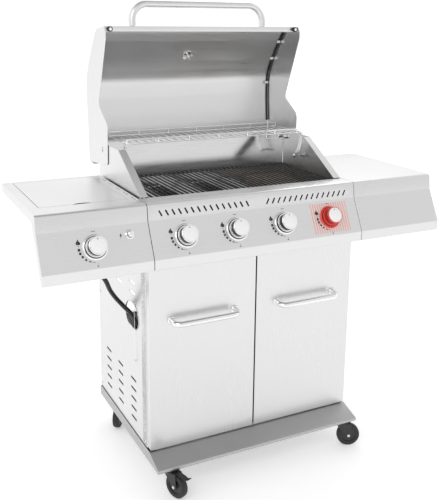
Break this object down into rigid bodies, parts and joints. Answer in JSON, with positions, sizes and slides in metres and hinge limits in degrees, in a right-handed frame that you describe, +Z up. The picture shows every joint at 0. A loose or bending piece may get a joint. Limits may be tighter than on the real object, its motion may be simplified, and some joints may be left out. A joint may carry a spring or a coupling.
{
  "type": "gas barbecue grill",
  "caption": "Gas barbecue grill on a two-door cabinet with casters, side shelves, side burner, open curved lid and warming rack.",
  "frame": {"origin": "on the ground, at the middle of the bounding box", "axes": "+X to the grill's right as seen from the front, -Y out of the doors, +Z up"},
  "size_m": [1.427, 0.735, 1.5499],
  "materials": {
    "brushed_steel": "brushed stainless sheet, grain along the width",
    "polished_steel": "smooth bright stainless sheet inside the firebox and bowl",
    "chrome": "bright plated, mirror smooth",
    "grey_steel": "satin mid grey coat",
    "black_steel": "black coat, low gloss",
    "cast_iron": "matt black enamelled iron",
    "brass": "plain machined",
    "rubber": "matt black",
    "red_metal": "glossy red coat",
    "ceramic": "matt heat-proof coat"
  },
  "bodies": {
    "frame": {"base_pan": "grey_steel", "cabinet_side_left": "brushed_steel", "cabinet_side_right": "brushed_steel", "cabinet_back": "brushed_steel", "hose_grommet": "brushed_steel", "firebox_tub": "polished_steel", "firebox_side_left": "brushed_steel", "firebox_side_right": "brushed_steel", "control_panel": "brushed_steel", "manifold": "brass", "burner_left": "brushed_steel", "burner_middle": "brushed_steel", "burner_right": "brushed_steel", "sear_burner": "ceramic", "heat_plate_left": "brushed_steel", "heat_plate_middle": "brushed_steel", "heat_plate_right": "brushed_steel", "grate_left": "cast_iron", "grate_right": "cast_iron", "shelf_left": "brushed_steel", "shelf_right": "brushed_steel", "side_burner_bowl": "polished_steel", "side_burner": "cast_iron", "side_burner_grate": "cast_iron", "gas_hose": "rubber"},
    "lid": {"lid_shell": "brushed_steel", "lid_side_left": "brushed_steel", "lid_side_right": "brushed_steel", "lid_handle": "brushed_steel", "lid_gauge": "chrome", "lid_bumper_left": "rubber", "lid_bumper_right": "rubber", "hinge_pin_left": "brushed_steel", "hinge_pin_right": "brushed_steel"},
    "rack_legs": {"rack_leg_left": "chrome", "rack_leg_right": "chrome"},
    "rack": {"warming_rack": "chrome"},
    "side_lid": {"side_burner_lid": "brushed_steel"},
    "left_door": {"door_left": "brushed_steel", "door_handle_left": "chrome"},
    "right_door": {"door_right": "brushed_steel", "door_handle_right": "chrome"},
    "left_knob": {"knob_left": "chrome"},
    "middle_knob": {"knob_middle": "chrome"},
    "right_knob": {"knob_right": "chrome"},
    "sear_knob": {"knob_sear": "red_metal"},
    "side_knob": {"knob_side": "chrome"},
    "igniter": {"igniter_button": "chrome"},
    "front_left_fork": {"caster_fork_front_left": "black_steel"},
    "front_left_wheel": {"caster_wheel_front_left": "rubber"},
    "front_right_fork": {"caster_fork_front_right": "black_steel"},
    "front_right_wheel": {"caster_wheel_front_right": "rubber"},
    "back_left_fork": {"caster_fork_back_left": "black_steel"},
    "back_left_wheel": {"caster_wheel_back_left": "rubber"},
    "back_right_fork": {"caster_fork_back_right": "black_steel"},
    "back_right_wheel": {"caster_wheel_back_right": "rubber"},
    "brake": {"brake_lever": "black_steel"},
    "drip_tray": {"grease_tray": "grey_steel", "grease_cup": "brushed_steel"},
    "match_stick": {"lighting_stick": "chrome"}
  },
  "joints": [
    {"name": "lid_hinge", "type": "hinge", "parent": "frame", "child": "lid", "pos_m": [0, 0.2055, 1.0465], "axis": [1, 0, 0], "range_deg": [0, 94]},
    {"name": "rack_leg_swing", "type": "hinge", "parent": "frame", "child": "rack_legs", "pos_m": [0, 0.1025, 0.9905], "axis": [1, 0, 0], "range_deg": [0, 56.4]},
    {"name": "rack_pivot", "type": "hinge", "parent": "rack_legs", "child": "rack", "pos_m": [0, 0.0575, 1.0785], "axis": [1, 0, 0], "range_deg": [-56.4, 0]},
    {"name": "side_lid_hinge", "type": "hinge", "parent": "frame", "child": "side_lid", "pos_m": [-0.41, 0.0345, 0.9515], "axis": [0, 1, 0], "range_deg": [0, 88]},
    {"name": "left_door_hinge", "type": "hinge", "parent": "frame", "child": "left_door", "pos_m": [-0.372, -0.2145, 0.4445], "axis": [0, 0, -1], "range_deg": [0, 105]},
    {"name": "right_door_hinge", "type": "hinge", "parent": "frame", "child": "right_door", "pos_m": [0.372, -0.2145, 0.4445], "axis": [0, 0, 1], "range_deg": [0, 105]},
    {"name": "left_knob_turn", "type": "hinge", "parent": "frame", "child": "left_knob", "pos_m": [-0.2625, -0.25875, 0.848], "axis": [0, -0.8944, 0.4472], "range_deg": [0, 180]},
    {"name": "middle_knob_turn", "type": "hinge", "parent": "frame", "child": "middle_knob", "pos_m": [-0.0875, -0.25875, 0.848], "axis": [0, -0.8944, 0.4472], "range_deg": [0, 180]},
    {"name": "right_knob_turn", "type": "hinge", "parent": "frame", "child": "right_knob", "pos_m": [0.0875, -0.25875, 0.848], "axis": [0, -0.8944, 0.4472], "range_deg": [0, 180]},
    {"name": "sear_knob_turn", "type": "hinge", "parent": "frame", "child": "sear_knob", "pos_m": [0.2625, -0.25875, 0.848], "axis": [0, -0.8944, 0.4472], "range_deg": [0, 180]},
    {"name": "side_knob_turn", "type": "hinge", "parent": "frame", "child": "side_knob", "pos_m": [-0.549, -0.25875, 0.848], "axis": [0, -0.8944, 0.4472], "range_deg": [0, 180]},
    {"name": "igniter_push", "type": "slide", "parent": "frame", "child": "igniter", "axis": [0, 0.8944, -0.4472], "range_m": [0, 0.004], "stiffness_N_per_m": 400, "springref_m": -0.003},
    {"name": "front_left_swivel", "type": "hinge", "parent": "frame", "child": "front_left_fork", "pos_m": [-0.33, -0.2835, 0.086], "axis": [0, 0, 1], "continuous": true},
    {"name": "front_left_roll", "type": "hinge", "parent": "front_left_fork", "child": "front_left_wheel", "pos_m": [-0.31876, -0.31132, 0.0405], "axis": [0.9272, 0.3746, 0], "continuous": true},
    {"name": "front_right_swivel", "type": "hinge", "parent": "frame", "child": "front_right_fork", "pos_m": [0.33, -0.2835, 0.086], "axis": [0, 0, 1], "continuous": true},
    {"name": "front_right_roll", "type": "hinge", "parent": "front_right_fork", "child": "front_right_wheel", "pos_m": [0.35741, -0.2957, 0.0405], "axis": [0.4067, 0.9135, 0], "continuous": true},
    {"name": "back_left_swivel", "type": "hinge", "parent": "frame", "child": "back_left_fork", "pos_m": [-0.33, 0.1975, 0.086], "axis": [0, 0, 1], "continuous": true},
    {"name": "back_left_roll", "type": "hinge", "parent": "back_left_fork", "child": "back_left_wheel", "pos_m": [-0.34721, 0.17293, 0.0405], "axis": [0.8192, -0.5736, 0], "continuous": true},
    {"name": "back_right_swivel", "type": "hinge", "parent": "frame", "child": "back_right_fork", "pos_m": [0.33, 0.1975, 0.086], "axis": [0, 0, 1], "continuous": true},
    {"name": "back_right_roll", "type": "hinge", "parent": "back_right_fork", "child": "back_right_wheel", "pos_m": [0.34805, 0.22146, 0.0405], "axis": [-0.7986, 0.6018, 0], "continuous": true},
    {"name": "brake_press", "type": "hinge", "parent": "front_left_fork", "child": "brake", "pos_m": [-0.31483, -0.32105, 0.086], "axis": [0.9272, 0.3746, 0], "range_deg": [0, 12]},
    {"name": "tray_slide", "type": "slide", "parent": "frame", "child": "drip_tray", "axis": [0, 1, 0], "range_m": [0, 0.3]},
    {"name": "stick_swing", "type": "hinge", "parent": "frame", "child": "match_stick", "pos_m": [-0.38075, -0.1125, 0.5975], "axis": [1, 0, 0], "range_deg": [-60, 30]}
  ],
  "couplings": [
    {"joint": "rack_leg_swing", "follows": "lid_hinge", "ratio": 0.6},
    {"joint": "rack_pivot", "follows": "lid_hinge", "ratio": -0.6}
  ]
}
